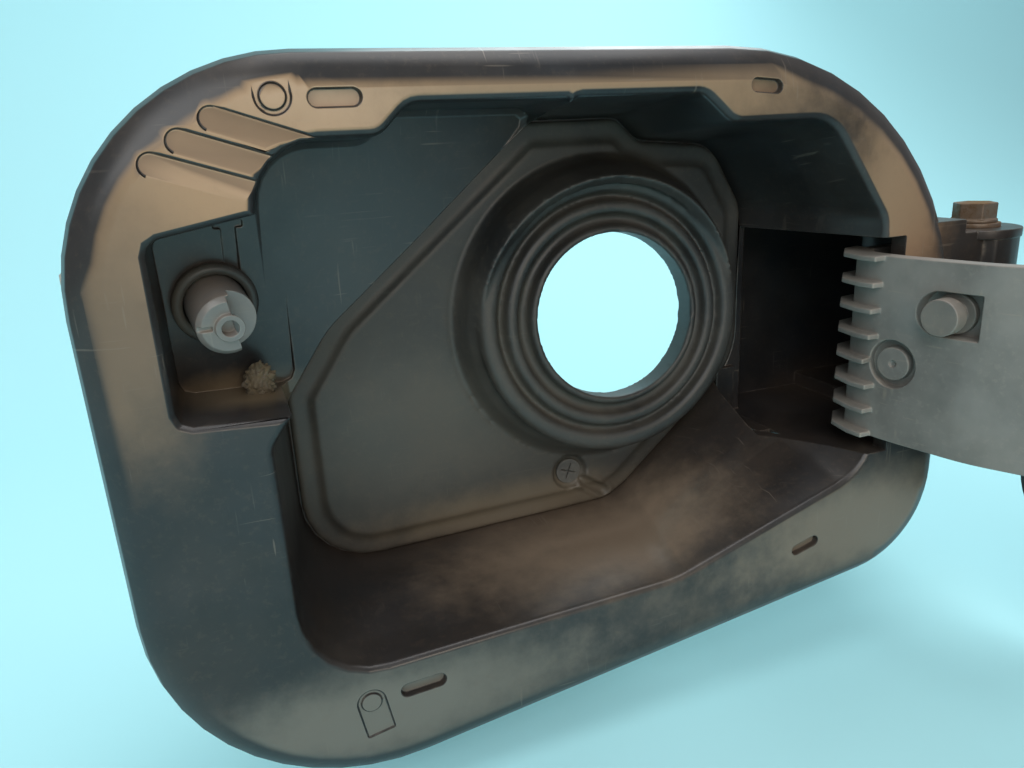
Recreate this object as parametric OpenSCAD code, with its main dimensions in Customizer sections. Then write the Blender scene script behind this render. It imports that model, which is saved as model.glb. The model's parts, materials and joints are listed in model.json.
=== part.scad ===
// Fuel filler flap housing of a car, with its hinged flap standing open.
// The rim faces -Y, the filler neck comes in from +Y and the flap hinges at +X.
// Everything is drawn from the rim's face, y = 0, and moved at the end so that
// the origin is the centre of the filler collar.

/* [Rim] */
// Reach of the rim to the left of the filler axis
rim_left = 129; // [126:1:136]
// Reach of the rim to the right of the filler axis
rim_right = 90; // [87:0.5:90]
// Reach of the rim above the filler axis
rim_top = 66; // [64:1:72]
// Depth of the low left corner below the filler axis
rim_low_left = 104; // [100:1:110]
// Depth of the low right corner below the filler axis
rim_low_right = 77; // [74:1:84]
// Thickness of the rim's skin
rim_t = 2.5; // [2:0.1:3.5]
// Depth that the rim's edge rolls back
rim_roll = 6; // [4:0.5:9]
// Width of the rolled edge
rim_roll_w = 8; // [6:0.5:10]

/* [Pocket] */
// Wall of the moulding
wall = 2.5; // [2:0.1:3]
// Depth of the pocket floor behind the rim
pocket_depth = 50; // [46:1:54]
// Left side of the pocket
pocket_left = 96; // [94:1:98]
// Right side of the pocket
pocket_right = 60; // [58:1:62]
// Top of the pocket
pocket_top = 55.5; // [53:0.5:56]
// Bottom of the pocket
pocket_low = 67.5; // [65:0.5:70]
// Radius of the pocket's mouth edge
mouth_r = 2; // [1:0.25:3]
// Draft of the left wall over the pocket's depth
draft_left = 6; // [4:0.5:7]
// Draft of the right wall over the pocket's depth
draft_right = 8.5; // [7:0.5:9]
// Draft of the top and bottom walls over the pocket's depth
draft_flat = 2.5; // [1:0.5:3]
// Ledge that carries the boot round the floor window
ledge = 5; // [4:0.5:6]

/* [Shelf and lock recess] */
// Depth of the lock recess at the plunger
lock_depth = 22; // [20:0.5:24]
// Plunger's distance to the left of the filler axis
lock_left = 103; // [101:0.5:105]
// Plunger's height above the filler axis
lock_up = 18; // [16:0.5:20]
// Turn of the plunger towards the hinge
lock_turn = 9; // [4:0.5:12]
// Nod of the plunger towards the ground
lock_nod = 12; // [6:0.5:14]
// Left side of the lock recess
recess_left = 113; // [112:0.5:115]
// Step of the shelf's edge down to the pocket floor at its low end
shelf_low = 10; // [8:0.5:12]

/* [Filler boot] */
// Radius of the filler hole
filler_r = 23; // [21:0.5:24]
// Depth of the collar's lip behind the rim
filler_depth = 33; // [31:0.5:35]
// Length of the collar's inner wall
collar_l = 8; // [6:0.5:10]
// Tilt of the filler axis up
filler_up = 5; // [0:0.5:8]
// Tilt of the filler axis away from the hinge
filler_turn = 4; // [0:0.5:6]
// Thickness of the boot's sheet
boot_t = 2; // [1.6:0.1:2.4]
// Radius of the dome at its crest
crest_r = 36; // [35:0.5:37]
// Radius of the dome at its foot
foot_r = 44.5; // [43:0.5:45]
// Radius of the drain plug
drain_r = 3.2; // [2.8:0.1:3.6]

/* [Hinge] */
// Pin's distance to the right of the filler axis
pin_right = 103; // [101:0.5:105]
// Depth of the pin behind the rim
pin_depth = 10; // [9:0.5:11]
// Angle of the open flap
open_angle = 95; // [85:1:100]
// Depth of the hinge box
box_depth = 62; // [60:1:66]
// Top of the hinge box's mouth above the filler axis
box_top = 19; // [18:0.5:20]
// Bottom of the hinge box's mouth below the filler axis
box_low = 41; // [39:0.5:43]
// Top of the arm above the filler axis
arm_top = 14.5; // [13:0.5:14.5]
// Height of the arm
arm_h = 50; // [46:1:51]
// Thickness of the arm
arm_t = 4; // [3.5:0.25:4.5]
// Radius of the arm's barrel
barrel_r = 7; // [6.5:0.25:7.5]
// Outer radius of the sleeve that the arm turns on
sleeve_r = 4.5; // [4:0.25:5]
// Radius of the hinge bolt's shank
bolt_r = 3; // [2.5:0.25:3.5]
// Width across the hinge bolt's flats
bolt_af = 10; // [9:0.5:11]
// Radius of the hinge boss's top flange
boss_r = 12.3; // [11.5:0.1:13]
// Number of stiffening fins on the arm
fin_count = 8; // [6:1:9]
// Thickness of a fin
fin_t = 1.4; // [1.2:0.1:1.8]
// Height of a fin over the arm's face
fin_h = 3.4; // [2.5:0.1:3.6]

/* [Flap] */
// Gap from the flap's edge to the rim's edge
flap_gap = 3.4; // [3:0.2:4]
// Thickness of the flap's skin
flap_t = 2.8; // [2.2:0.1:3.2]
// Depth of the flap's skin in front of the rim when shut
flap_front = 5; // [4.6:0.1:5.4]
// Radius of the tether peg
peg_r = 4.6; // [4:0.1:4.8]

/* [Latch] */
// Radius of the plunger's head
plunger_r = 6.3; // [6:0.1:6.6]
// Travel of the plunger
plunger_travel = 8; // [6:0.5:8]
// Radius of the plunger's shaft
shaft_r = 4; // [3.6:0.1:4.2]
// Outer radius of the latch's barrel
case_r = 10.5; // [9.5:0.5:11]
// Travel of the lock slide
slide_travel = 4; // [3:0.25:4]

/* [Fits] */
// Running clearance round a shaft
running_gap = 0.05; // [0.03:0.01:0.08]
// Gap between pieces that only lie side by side
seat_gap = 0.3; // [0.2:0.05:0.4]

/* [Hidden] */
$fn = 96;
cut = 1;

plastic_black = [0.07, 0.07, 0.075];
rubber_black = [0.09, 0.09, 0.09];
arm_grey = [0.16, 0.17, 0.18];
steel_dusty = [0.35, 0.3, 0.24];
plunger_grey = [0.6, 0.62, 0.64];

pin = [pin_right, pin_depth];
arm_low = arm_top - arm_h;
flap_back = flap_t - flap_front;
head_l = 15.2;
neck_r = plunger_r + 1.1;
seal_back = -wall - 2.2;

// Corner outlines, counterclockwise as seen from the front: [x, z, radius]
rim_line = [
    [-rim_left, rim_top, 46],
    [-rim_left + 1, -rim_low_left, 52],
    [rim_right - 0.5, -rim_low_right, 29],
    [rim_right, rim_top, 76]];
shelf_step = [
    [-pocket_left + 70, pocket_top, 3],
    [-pocket_left + 40, 29, 8],
    [-pocket_left + 14, 9, 25],
    [-pocket_left, -shelf_low, 4]];
mouth_line = concat(shelf_step, [
    [-pocket_left, -pocket_low, 18],
    [0, -pocket_low + 3, 25],
    [pocket_right + 3, -pocket_low + 23, 16],
    [pocket_right, 24, 10],
    [pocket_right - 19, 49, 12],
    [13, 49, 5],
    [5, pocket_top, 5]]);
floor_line = [
    [-pocket_left + 76, pocket_top - draft_flat, 3],
    [-pocket_left + 44, 27, 8],
    [-pocket_left + 19, 6, 25],
    [-pocket_left + draft_left, -shelf_low - 3, 4],
    [-pocket_left + draft_left, -pocket_low + draft_flat, 20],
    [6, -pocket_low + draft_flat + 2, 22],
    [pocket_right - draft_right, -24, 24],
    [pocket_right - draft_right, 26, 10],
    [pocket_right - draft_right - 11, 44.5, 12],
    [16, 46.5, 6],
    [9, pocket_top - draft_flat, 6]];
// The shelf's outline, which reaches past the step into the pocket
function shelf_line(reach) = [
    [-pocket_left + 70 + 0.68 * reach, pocket_top - 0.2, 3],
    [-pocket_left + 34, pocket_top - 0.2, 5],
    [-pocket_left + 28, 49.5, 5],
    [-pocket_left + 3.5, 49.5, 13],
    [-pocket_left + 2.5, 20, 3],
    [-pocket_left + 0.7 + 0.68 * reach, -shelf_low - 0.73 * reach, 3],
    [-pocket_left + 14 + 0.68 * reach, 9 - 0.73 * reach, 20],
    [-pocket_left + 40 + 0.68 * reach, 29 - 0.73 * reach, 8]];
recess_line = [
    [-pocket_left + 8, 37.5, 3],
    [-recess_left, 33, 3],
    [-recess_left, -2.5, 3],
    [-pocket_left + 8, -4, 3]];

function cross2(a, b) = a.x * b.y - a.y * b.x;
function unit(v) = v / norm(v);
function turned(v, a) = [v.x * cos(a) - v.y * sin(a), v.x * sin(a) + v.y * cos(a)];
function flat(c) = [c[0], c[1]];

// Points of one rounded corner between its two neighbours
function corner_arc(before, c, after) =
    c[2] == 0 ? [flat(c)] :
    let (size = is_undef(c[3]) ? c[2] : c[3],
        n = size < 1 ? 1 : size < 4 ? 2 : size < 10 ? 3 : size < 27 ? 6 : 12,
        u = unit(flat(before) - flat(c)), v = unit(flat(after) - flat(c)),
        half = acos(u * v) / 2,
        reach = c[2] / tan(half),
        centre = flat(c) + unit(u + v) * c[2] / sin(half),
        first = flat(c) + u * reach - centre,
        last = flat(c) + v * reach - centre,
        sweep = (180 - 2 * half) * sign(cross2(first, last)))
    [for (k = [0:n]) centre + turned(first, sweep * k / n)];
function rounded(line) =
    let (m = len(line))
    [for (i = [0:m - 1]) each corner_arc(line[(i + m - 1) % m], line[i], line[(i + 1) % m])];
// Outward grown copy of a counterclockwise outline
function grown(pts, d) =
    let (m = len(pts))
    [for (i = [0:m - 1])
        let (a = unit(pts[i] - pts[(i + m - 1) % m]), b = unit(pts[(i + 1) % m] - pts[i]),
            na = [a.y, -a.x], nb = [b.y, -b.x])
        pts[i] + d * (na + nb) / (1 + na * nb)];
// Corners of an outline moved in by d, each with its radius changed to match
function inset(line, d) =
    let (m = len(line), pts = grown([for (c = line) flat(c)], -d))
    [for (i = [0:m - 1])
        let (before = flat(line[(i + m - 1) % m]), here = flat(line[i]), after = flat(line[(i + 1) % m]),
            side = sign(cross2(here - before, after - here)))
        [pts[i].x, pts[i].y, max(line[i][2] - side * d, 1.5), line[i][2]]];
function blended(from, to, t) = [for (i = [0:len(from) - 1]) from[i] * (1 - t) + to[i] * t];
function level(pts, y) = [for (p = pts) [p.x, y, p.y]];
// The latch's seat is square to the plunger, and the shelf runs on from it more gently
function seat_y(p) = lock_depth + (p.x + lock_left) * tan(lock_turn) - (p.y - lock_up) * tan(lock_nod);
function shelf_y(p) = lock_depth - 0.8 + (p.x + lock_left) * 0.2 - (p.y - lock_up) * 0.16;
function seated(pts, deeper) = [for (p = pts) [p.x, seat_y(p) + deeper, p.y]];
function shelved(pts, deeper) = [for (p = pts) [p.x, shelf_y(p) + deeper, p.y]];
// A point of the shut flap, in plan, swung to where it stands open
function opened(p) = pin + turned(p - pin, open_angle);

// A solid through rings; a hub in each end suits an outline with hollow corners
module loft(rings, hub = false) {
    n = len(rings[0]);
    m = len(rings);
    share = [for (p = rings[0]) 1 / n];
    polyhedron(
        points = [for (ring = rings) each ring, share * rings[0], share * rings[m - 1]],
        faces = concat(
            hub ? [for (i = [0:n - 1]) [m * n, (i + 1) % n, i]] : [[for (i = [n - 1:-1:0]) i]],
            [for (k = [0:m - 2]) for (i = [0:n - 1])
                let (j = (i + 1) % n)
                each [[k * n + i, k * n + j, (k + 1) * n + j],
                    [k * n + i, (k + 1) * n + j, (k + 1) * n + i]]],
            hub ? [for (i = [0:n - 1]) [(m - 1) * n + i, (m - 1) * n + (i + 1) % n, m * n + 1]]
                : [[for (i = [0:n - 1]) (m - 1) * n + i]]));
}
// A closed band through rings, the last of which joins the first
module ring_loft(rings) {
    n = len(rings[0]);
    m = len(rings);
    polyhedron(
        points = [for (ring = rings) each ring],
        faces = [for (k = [0:m - 1]) for (i = [0:n - 1])
            let (j = (i + 1) % n, l = (k + 1) % m)
            each [[k * n + i, k * n + j, l * n + j], [k * n + i, l * n + j, l * n + i]]]);
}
// An outline of the X-Z plane as a slab from y = from to y = to
module slab(pts, from, to)
    translate([0, to, 0]) rotate([90, 0, 0]) linear_extrude(to - from) polygon(pts);
// A slot with round ends, along X
module slot(l, w, from, to)
    translate([0, to, 0]) rotate([90, 0, 0]) linear_extrude(to - from) {
        square([l - w, w], center = true);
        for (s = [-1, 1]) translate([s * (l - w) / 2, 0]) circle(w / 2, $fn = 32);
    }
module at_pin() translate([pin.x, pin.y, 0]) children();
module at_filler()
    translate([0, filler_depth, 0]) rotate([-filler_up, 0, -filler_turn]) rotate([90, 0, 0]) children();
module at_lock()
    translate([-lock_left, lock_depth, lock_up]) rotate([lock_nod, 0, lock_turn])
        rotate([90, 0, 0]) children();
module swung_open()
    at_pin() rotate([0, 0, open_angle]) translate([-pin.x, -pin.y, 0]) children();

// Housing
rim_pts = rounded(rim_line);
mouth_pts = rounded(mouth_line);
floor_pts = rounded(floor_line);
recess_pts = rounded(recess_line);
function within_floor(d) = rounded(inset(floor_line, d));
roll_steps = [0, 30, 60, 90];

function edge_out(a, r) = r * (1 - sin(a));
function edge_in(a, r) = r * (1 - cos(a));

module rim_skin() difference() {
    loft([for (a = roll_steps)
        level(grown(rim_pts, -edge_out(a, rim_roll_w)), edge_in(a, rim_roll))]);
    loft([for (a = concat(roll_steps, [91]))
        level(grown(rim_pts, -rim_t - edge_out(min(a, 90), rim_roll_w - rim_t)),
            a > 90 ? rim_roll + cut : rim_t + edge_in(a, rim_roll - rim_t))]);
}
module pocket_form(grow)
    if (grow > 0) loft([for (t = [0.01, 0.2, 0.4, 0.6, 0.8, 1 + grow / pocket_depth])
        level(grown(blended(mouth_pts, floor_pts, t), grow), t * pocket_depth)]);
    else loft(concat(
        [level(grown(mouth_pts, mouth_r), -cut)],
        [for (a = [0, 30, 60, 90]) level(grown(mouth_pts, edge_out(a, mouth_r)), edge_in(a, mouth_r))],
        [for (t = [0.2, 0.4, 0.6, 0.8, 1]) level(blended(mouth_pts, floor_pts, t),
            mouth_r + t * (pocket_depth - mouth_r))]));
module shelf_form(grow)
    if (grow > 0) let (pts = grown(rounded(shelf_line(2.5)), grow))
        loft([level(pts, cut / 2), shelved(pts, grow)]);
    else let (pts = rounded(shelf_line(7)))
        loft(concat(
            [level(grown(pts, mouth_r), -cut)],
            [for (a = [0, 45, 90]) level(grown(pts, edge_out(a, mouth_r)), edge_in(a, mouth_r))],
            [shelved(pts, -1.5), shelved(grown(pts, -1.5), 0)]));
module recess_form(grow)
    if (grow > 0) loft([level(grown(recess_pts, grow), cut / 2), seated(grown(recess_pts, grow), grow)]);
    else loft([level(grown(recess_pts, mouth_r / 2), -cut), level(grown(recess_pts, mouth_r / 2), 0),
        level(recess_pts, mouth_r / 2), seated(recess_pts, 0)]);

// Hinge box, drawn in plan: [x, y, radius]
box_front = 5.5;
boss_x = pin.x + boss_r - wall - 0.6;
// The box's far wall leans out to clear the folded arm's bend
bulge = 4.5;
box_plan = [
    [pocket_right - 16, -cut, 0.2], [pocket_right + 7.5, -cut, 0.2],
    [pocket_right + 7.5, box_front, 1],
    [pin.x - 9, box_front, 1], [pin.x - 6, pin.y - 9.2, 2], [boss_x, pin.y - 9.2, 9],
    [boss_x, pin.y + 12, 20], [boss_x + bulge, pin.y + 28, 20], [boss_x + bulge, box_depth, 8],
    [pocket_right - draft_right + 2.5, box_depth, 5],
    [pocket_right - draft_right + 2.5, pocket_depth - 0.6, 0.2],
    [pocket_right - 16, pocket_depth - 0.6, 0.2]];
box_plan_out = [
    [pocket_right - draft_right - 1, rim_t / 2, 1], [pin.x - 6, rim_t / 2, 1],
    [pin.x - 4, pin.y - boss_r + 1, 2],
    [boss_x + wall, pin.y - boss_r + 0.6, 10.5], [boss_x + wall, pin.y + 12, 20],
    [boss_x + wall + bulge, pin.y + 28, 20], [boss_x + wall + bulge, box_depth + wall, 10],
    [pocket_right - draft_right - 1, box_depth + wall, 7]];
end_x = rim_right - 2.5;
end_top = arm_top + 0.8;
end_low = arm_low - 1;
lug_gap = 0.3;
lug_top = arm_top - 2.5;
lug_low = arm_low + 2.5;

module box_slice(plan, low, top, from_x = -200, to_x = 200) intersection() {
    translate([0, 0, low]) linear_extrude(top - low) polygon(rounded(plan));
    translate([from_x, -50, low]) cube([to_x - from_x, 200, top - low]);
}
module box_outside() {
    box_slice(box_plan_out, -box_low - wall, box_top + wall, to_x = end_x + wall);
    box_slice(box_plan_out, end_low - wall, end_top + wall, from_x = end_x - cut);
    at_pin() translate([0, 0, end_top + 0.2]) cylinder(r = boss_r, h = wall, $fn = 60);
    at_pin() translate([0, 0, end_low - wall - 0.2]) cylinder(r = boss_r, h = wall, $fn = 60);
}
module box_inside() difference() {
    union() {
        box_slice(box_plan, -box_low, box_top, to_x = end_x);
        box_slice(box_plan, end_low, end_top, from_x = end_x - cut);
    }
    at_pin() translate([0, 0, lug_top]) cylinder(r = barrel_r + 1, h = 20, $fn = 40);
    at_pin() translate([0, 0, lug_low - 20]) cylinder(r = barrel_r + 1, h = 20, $fn = 40);
}
clip_slots = [
    // x, z, turn, length, width
    [-76, 56.8, 0, 10, 3.4], [21.5, 56.8, 5, 8.4, 3], [-70.2, -75, -3, 11, 3.4], [41, -64.8, -14, 8.8, 3]];
stop_tabs = [[-87.2, 57.3, 10], [-82.8, -75.8, 190]];
tab_r = 3.3;
tab_d = 0.5;
pad_r = 2.4;
// Upper edges of the three scooped grooves, left end first
groove_ends = [[[-99.6, 56.6], [-80.5, 50]], [[-105.6, 53], [-89, 47.2]], [[-110.8, 49.2], [-92.8, 43]]];
groove_w = 4.4;
groove_d = 0.9;

// A round stop pad in its own recess, which runs out to the rim's edge
module stop_tab(t) translate([t[0], tab_d, t[1]]) rotate([0, -t[2], 0]) rotate([90, 0, 0])
    linear_extrude(3) difference() {
        union() {
            circle(tab_r, $fn = 40);
            translate([-tab_r, 0]) square([2 * tab_r, 9]);
        }
        circle(pad_r, $fn = 40);
    }
// A groove that is deep along its upper edge and fades out below it
module grip_groove(ends) let (run = ends[1] - ends[0])
    translate([ends[0].x, 0, ends[0].y]) rotate([0, -atan2(run.y, run.x), 0])
        translate([0, 0, -groove_w]) rotate([90 - asin(groove_d / groove_w), 0, 0]) linear_extrude(4) {
            translate([groove_w / 2, groove_w / 2]) circle(groove_w / 2, $fn = 32);
            translate([groove_w / 2, 0]) square([norm(run), groove_w]);
        }
// A key slot in the recess wall, from the gaiter up to the recess's top
module key_slot() at_lock() translate([key_at, 0, -key_d]) {
    translate([-key_w / 2, 0, 0]) cube([key_w, key_up, key_d + cut]);
    translate([-key_w, key_up - key_w / 2, 0]) cube([2 * key_w, key_w / 2, key_d + cut]);
}
key_at = 4.6;
key_w = 3;
key_up = 17;
key_d = 0.9;
rib_t = 1.8;
rib_h = 16;
// A gusset from the pocket's wall out to the rim's rolled edge, standing on the back of the rim
module gusset(reach) translate([-rib_t / 2, rim_t / 2, 0]) hull() {
    translate([0, 0, -3]) cube([rib_t, rib_h, 3]);
    cube([rib_t, 3, reach]);
}
module back_ribs() {
    for (x = [-pocket_left + 26, -pocket_left + 66, pocket_right - 48])
        translate([x, 0, pocket_top + wall]) gusset(rim_top - pocket_top - wall - 4);
    for (x = [-pocket_left + 36, -pocket_left + 81])
        translate([x, 0, -pocket_low - wall + 1]) rotate([0, 180, 0]) gusset(10);
    for (z = [-55, -30, -12]) translate([-pocket_left - wall, 0, z]) rotate([0, -90, 0])
        gusset(rim_left - pocket_left - wall - 8);
}

module housing() color(plastic_black) difference() {
    union() {
        rim_skin();
        pocket_form(wall);
        shelf_form(wall);
        recess_form(wall);
        box_outside();
        back_ribs();
    }
    pocket_form(0);
    shelf_form(0);
    recess_form(0);
    box_inside();
    slab(within_floor(ledge), pocket_depth - cut, pocket_depth + wall + cut);
    at_lock() translate([0, 0, -wall - 9]) cylinder(r = neck_r + seat_gap, h = wall + 9 + cut, $fn = 60);
    at_pin() translate([0, 0, lug_top - cut]) cylinder(r = bolt_r + 0.1, h = 20, $fn = 36);
    at_pin() translate([0, 0, lug_low - 20]) cylinder(r = bolt_r + 0.1, h = 20 + cut, $fn = 36);
    for (s = clip_slots) translate([s[0], 0, s[1]]) rotate([0, s[2], 0]) slot(s[3], s[4], -cut, rim_t - 0.7);
    for (t = stop_tabs) stop_tab(t);
    for (g = groove_ends) grip_groove(g);
    key_slot();
}

// Filler boot
boot_front = pocket_depth - boot_t;
panel_rise = 1.2;
panel_edge = 7;
lip = 2.2;
dome_line = [
    [filler_r, -collar_l, 0], [filler_r, 0, 0], [filler_r + 1.8, 0, 0.7], [filler_r + 2.4, -4, 0.8],
    [filler_r + 4.8, -4, 0.8], [filler_r + 5.4, -1.2, 1], [filler_r + 8.2, -1.2, 1.2],
    [filler_r + 9.2, -4.6, 1], [crest_r - 2.6, -4.6, 1], [crest_r - 1.8, -1.4, 1.4], [crest_r + 2.4, -1.6, 2],
    [crest_r + 3.6, -4.4, 1.5], [crest_r + 0.6, -6.6, 1], [filler_r + 3, -6.8, 0.8], [filler_r + 1.8, -collar_l, 0.5]];
// Rings of the dome's flank, from the tilted crest to the level foot: [radius, crest height or depth]
function tilted(r, h, a) =
    let (x = r * cos(a), z = r * sin(a), y1 = -h * cos(filler_up) + z * sin(filler_up) * -1,
        z1 = z * cos(filler_up) + h * sin(filler_up))
    [x * cos(filler_turn) + y1 * sin(filler_turn), filler_depth - x * sin(filler_turn) + y1 * cos(filler_turn), z1];
foot_x = (boot_front - filler_depth) * tan(filler_turn);
foot_z = -(boot_front - filler_depth) * tan(filler_up);
function grounded(r, y, a) = [foot_x + r * cos(a), y, foot_z + r * sin(a)];
flank_steps = [for (i = [0:59]) 6 * i];
function between(a, t, r_crest, h_crest, r_foot, y_foot) =
    tilted(r_crest, h_crest, a) * (1 - t) + grounded(r_foot, y_foot, a) * t;
module dome_flank() ring_loft([
    [for (a = flank_steps) between(a, 0, crest_r + 2.2, -2.6, foot_r, 0)],
    [for (a = flank_steps) between(a, 0.45, crest_r + 3.2, -2.4, foot_r - 0.6, boot_front - 1.6)],
    [for (a = flank_steps) between(a, 0.8, crest_r + 4, -2.2, foot_r - 0.6, boot_front - 0.9)],
    [for (a = flank_steps) grounded(foot_r + 0.6, boot_front - 0.5, a)],
    [for (a = flank_steps) grounded(foot_r + 2.6, boot_front + 0.3, a)],
    [for (a = flank_steps) grounded(foot_r + 2.6, boot_front + boot_t - 0.3, a)],
    [for (a = flank_steps) grounded(foot_r - 2.2, boot_front + boot_t - 0.3, a)],
    [for (a = flank_steps) between(a, 0.5, crest_r + 1, -4.6, foot_r - 3, boot_front)],
    [for (a = flank_steps) between(a, 0, crest_r, -5.2, foot_r, 0)]]);

drain_at = [-9.5, -50.5];
drain_well_r = 2 * drain_r;

module boot_sheet() loft([
    level(within_floor(panel_edge), boot_front - panel_rise),
    level(within_floor(panel_edge - 1.2), boot_front),
    level(within_floor(seat_gap + 0.8), boot_front),
    level(within_floor(seat_gap), boot_front + 0.8),
    level(within_floor(seat_gap), pocket_depth),
    level(within_floor(ledge + seat_gap), pocket_depth),
    level(within_floor(ledge + seat_gap), pocket_depth + wall + 0.1),
    level(within_floor(ledge - lip), pocket_depth + wall + 0.1),
    level(within_floor(ledge - lip), pocket_depth + wall + boot_t),
    level(within_floor(ledge + lip), pocket_depth + wall + boot_t),
    level(within_floor(ledge + lip), pocket_depth)], hub = true);
module filler_boot() color(rubber_black) difference() {
    union() {
        difference() {
            boot_sheet();
            translate([foot_x, boot_front - 5, foot_z]) rotate([-90, 0, 0]) cylinder(r = foot_r + 1.2, h = 40);
        }
        dome_flank();
        at_filler() rotate_extrude() polygon(rounded(dome_line));
        translate([drain_at.x, boot_front - panel_rise + 0.2, drain_at.y]) rotate([-90, 0, 0])
            cylinder(r = drain_well_r, h = boot_t + 4);
    }
    translate([drain_at.x, 0, drain_at.y]) rotate([-90, 0, 0]) {
        cylinder(r = drain_well_r - 1, h = boot_front + 0.8, $fn = 48);
        cylinder(r = drain_r, h = 80, $fn = 48);
    }
}
module drain_valve() color(rubber_black)
    translate([drain_at.x, boot_front + 0.8, drain_at.y]) rotate([-90, 0, 0]) difference() {
        union() {
            translate([0, 0, -1]) cylinder(r = drain_r + 0.7, h = 1, $fn = 48);
            cylinder(r = drain_r - 0.02, h = boot_t + 5, $fn = 48);
            translate([0, 0, boot_t + 2.4 + 0.02]) cylinder(r1 = drain_r + 0.6, r2 = drain_r - 0.4, h = 2, $fn = 48);
        }
        for (a = [0, 90]) rotate([0, 0, a + 20]) translate([-drain_r * 0.8, -0.2, -2]) cube([drain_r * 1.6, 0.4, 3]);
        translate([0, 0, 2]) cylinder(r = drain_r - 1.2, h = 10, $fn = 32);
    }

// Hinge, its centre line drawn in plan: [x, y, radius]
pad_y = flap_back + arm_t / 2;
bend = [pocket_right + 3.3, -4];
knee = bend + [4.9, -21];
arm_line = [
    [pin.x, pin.y, 0],
    [pin.x - 20, pin.y + 3.5, 10],
    [bend.x - 1.8, pin.y + 5, 9],
    concat(bend, [60]),
    concat(knee, [40]),
    [knee.x + 12.8, knee.y - 25, 16],
    concat(opened([40, pad_y]), [7]),
    concat(opened([4, pad_y]), [0])];
function path(line) =
    let (m = len(line))
    concat([flat(line[0])],
        [for (i = [1:m - 2]) each corner_arc(line[i - 1], line[i], line[i + 1])],
        [flat(line[m - 1])]);
function side(pts, d) =
    let (m = len(pts))
    [for (i = [0:m - 1])
        let (a = unit(pts[max(i, 1)] - pts[max(i, 1) - 1]), b = unit(pts[min(i, m - 2) + 1] - pts[min(i, m - 2)]),
            na = [a.y, -a.x], nb = [b.y, -b.x])
        pts[i] + d * (na + nb) / (1 + na * nb)];
function reversed(pts) = [for (i = [len(pts) - 1:-1:0]) pts[i]];
arm_path = path(arm_line);
arm_outline = concat(side(arm_path, arm_t / 2), reversed(side(arm_path, -arm_t / 2)));
barrel_low = lug_low + lug_gap;
barrel_top = lug_top - lug_gap;
web_w = 18;
// Places on the arm's outer face: [depth, height]
stud_well = [bend.y - 0.5, -13.8];
peg_well = [bend.y - 13.6, 1.4];
well_r = 6.5;
peg_base_r = peg_r + 1;

// The arm's face between its bend and its knee leans away from the flap's hinge line
face_lean = atan2(knee.x - bend.x, bend.y - knee.y);
module at_face(p)
    translate([bend.x - arm_t / 2 + (bend.y - p.x) * tan(face_lean), p.x, p.y])
        rotate([0, -90, face_lean]) children();
module arm_fin(t, h) linear_extrude(t) difference() {
    polygon(concat(side(arm_path, arm_t / 2 + h), reversed(side(arm_path, arm_t / 2 - cut))));
    translate([-100, -100]) square([300, 100 + bend.y + 4]);
    translate([pin.x - 33, -100]) square([200, 200]);
}
// The peg stands in a pocket that is round on one side and square on the other
module peg_pocket(r, low, high) translate([0, 0, low]) linear_extrude(high - low) {
    translate([0, 2.5]) circle(r);
    translate([-r, -7.5]) square([2 * r, 10]);
}
module hinge_arm() color(arm_grey) difference() {
    union() {
        translate([0, 0, arm_low]) linear_extrude(arm_h) difference() {
            polygon(arm_outline);
            translate([pin.x - web_w, pin.y - 20]) square([60, 60]);
        }
        translate([0, 0, barrel_low]) linear_extrude(barrel_top - barrel_low) intersection() {
            polygon(arm_outline);
            translate([pin.x - web_w - cut, pin.y - 20]) square([60, 60]);
        }
        at_pin() translate([0, 0, barrel_low]) cylinder(r = barrel_r, h = barrel_top - barrel_low);
        for (i = [0:fin_count - 1])
            translate([0, 0, arm_low + i * (arm_h - fin_t) / (fin_count - 1)]) arm_fin(fin_t, fin_h);
        at_face(peg_well) peg_pocket(peg_base_r + 1.6, -6, -2);
        at_face(stud_well) translate([0, 0, -5.5]) cylinder(r = well_r + 1.4, h = 3);
    }
    at_pin() translate([0, 0, barrel_low - cut]) cylinder(r = sleeve_r + running_gap, h = arm_h + 2);
    at_face(peg_well) peg_pocket(peg_base_r, -4.6, 20);
    at_face(stud_well) translate([0, 0, -3]) difference() {
        cylinder(r = well_r, h = 20);
        cylinder(r = well_r - 2, h = 2.4);
    }
    at_face(stud_well) translate([0, 0, -1.2]) cylinder(r = 0.9, h = 5, $fn = 24);
    for (s = screw_spots) swung_open() translate([s.x, 0, s.y]) rotate([90, 0, 0])
        cylinder(r = screw_r + 0.2, h = 20, center = true, $fn = 32);
}
module tether_peg() color(arm_grey) at_face(peg_well) translate([0, 0, -4.6]) {
    cylinder(r = peg_base_r - 0.4, h = 2);
    cylinder(r = peg_r - 1.4, h = 6);
    translate([0, 0, 4.8]) cylinder(r = peg_r, h = 4.4);
}
boss_top = end_top + wall + 0.2;
boss_low = end_low - wall - 0.2;
head_low = boss_top + 1.2;
module hinge_bolt() color(steel_dusty) at_pin() {
    translate([0, 0, head_low]) cylinder(d = bolt_af / cos(30), h = 5.5, $fn = 6);
    translate([0, 0, head_low]) cylinder(r = bolt_af / 2 + 1, h = 1);
    translate([0, 0, lug_low - 9]) cylinder(r = bolt_r, h = head_low - lug_low + 9.5);
}
module hinge_washer() color(steel_dusty) at_pin() translate([0, 0, boss_top]) difference() {
    cylinder(r = bolt_af / 2 + 1.9, h = 1.2);
    translate([0, 0, -cut]) cylinder(r = bolt_r + 0.1, h = 4);
}
module hinge_nut() color(steel_dusty) at_pin() translate([0, 0, boss_low - 5]) difference() {
    cylinder(d = bolt_af / cos(30), h = 5, $fn = 6);
    translate([0, 0, -cut]) cylinder(r = bolt_r + 0.02, h = 8);
}
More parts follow.
